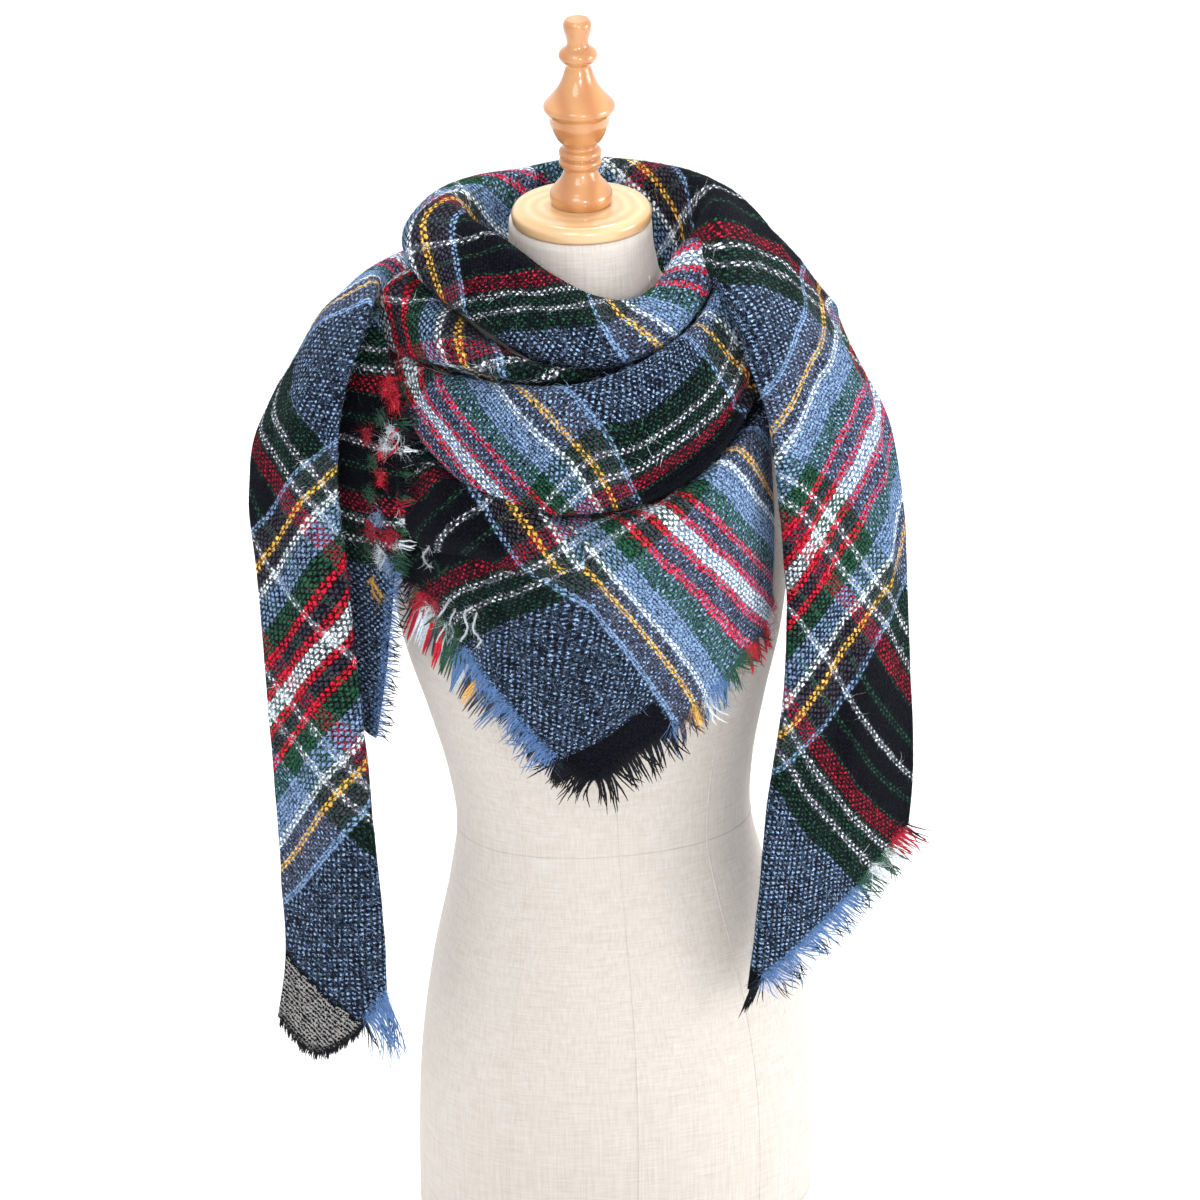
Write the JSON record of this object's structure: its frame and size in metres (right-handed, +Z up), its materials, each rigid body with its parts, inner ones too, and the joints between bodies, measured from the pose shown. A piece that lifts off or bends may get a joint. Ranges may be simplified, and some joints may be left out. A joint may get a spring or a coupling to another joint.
{
  "type": "blanket scarf on a limbless dress form",
  "caption": "Fringed plaid blanket scarf draped round the neck as a bandana, with two hanging tails, on a linen dress form with a wooden neck cap.",
  "frame": {"origin": "in the dress form's flat base, below the middle of the neck", "axes": "+Z up along the neck, -Y the front of the form, +X its left arm's side, to the viewer's right"},
  "size_m": [0.5035, 0.331, 0.996],
  "materials": {
    "plaid": "brushed acrylic twill in a blue, black, green, red, white and yellow plaid",
    "yarn": "loose heathered yarn fringe",
    "linen": "plain pale linen, tightly stretched",
    "cap_wood": "glossy varnished maple",
    "finial_wood": "glossy varnished turned maple, darker"
  },
  "bodies": {
    "root": {"torso": "linen", "neck_cap": "cap_wood", "finial": "finial_wood", "cowl_inner": "plaid", "cowl_middle": "plaid", "front_swag": "plaid", "fold_lower": "plaid", "apron": "plaid", "apron_under": "plaid", "tail_right": "plaid", "tail_left": "plaid", "tail_left_inner": "plaid", "fringe_apron_left": "yarn", "fringe_apron_right": "yarn", "fringe_apron_under": "yarn", "fringe_tail_left_side": "yarn", "fringe_tail_left_end": "yarn", "fringe_tail_right_end": "yarn"}
  },
  "joints": []
}
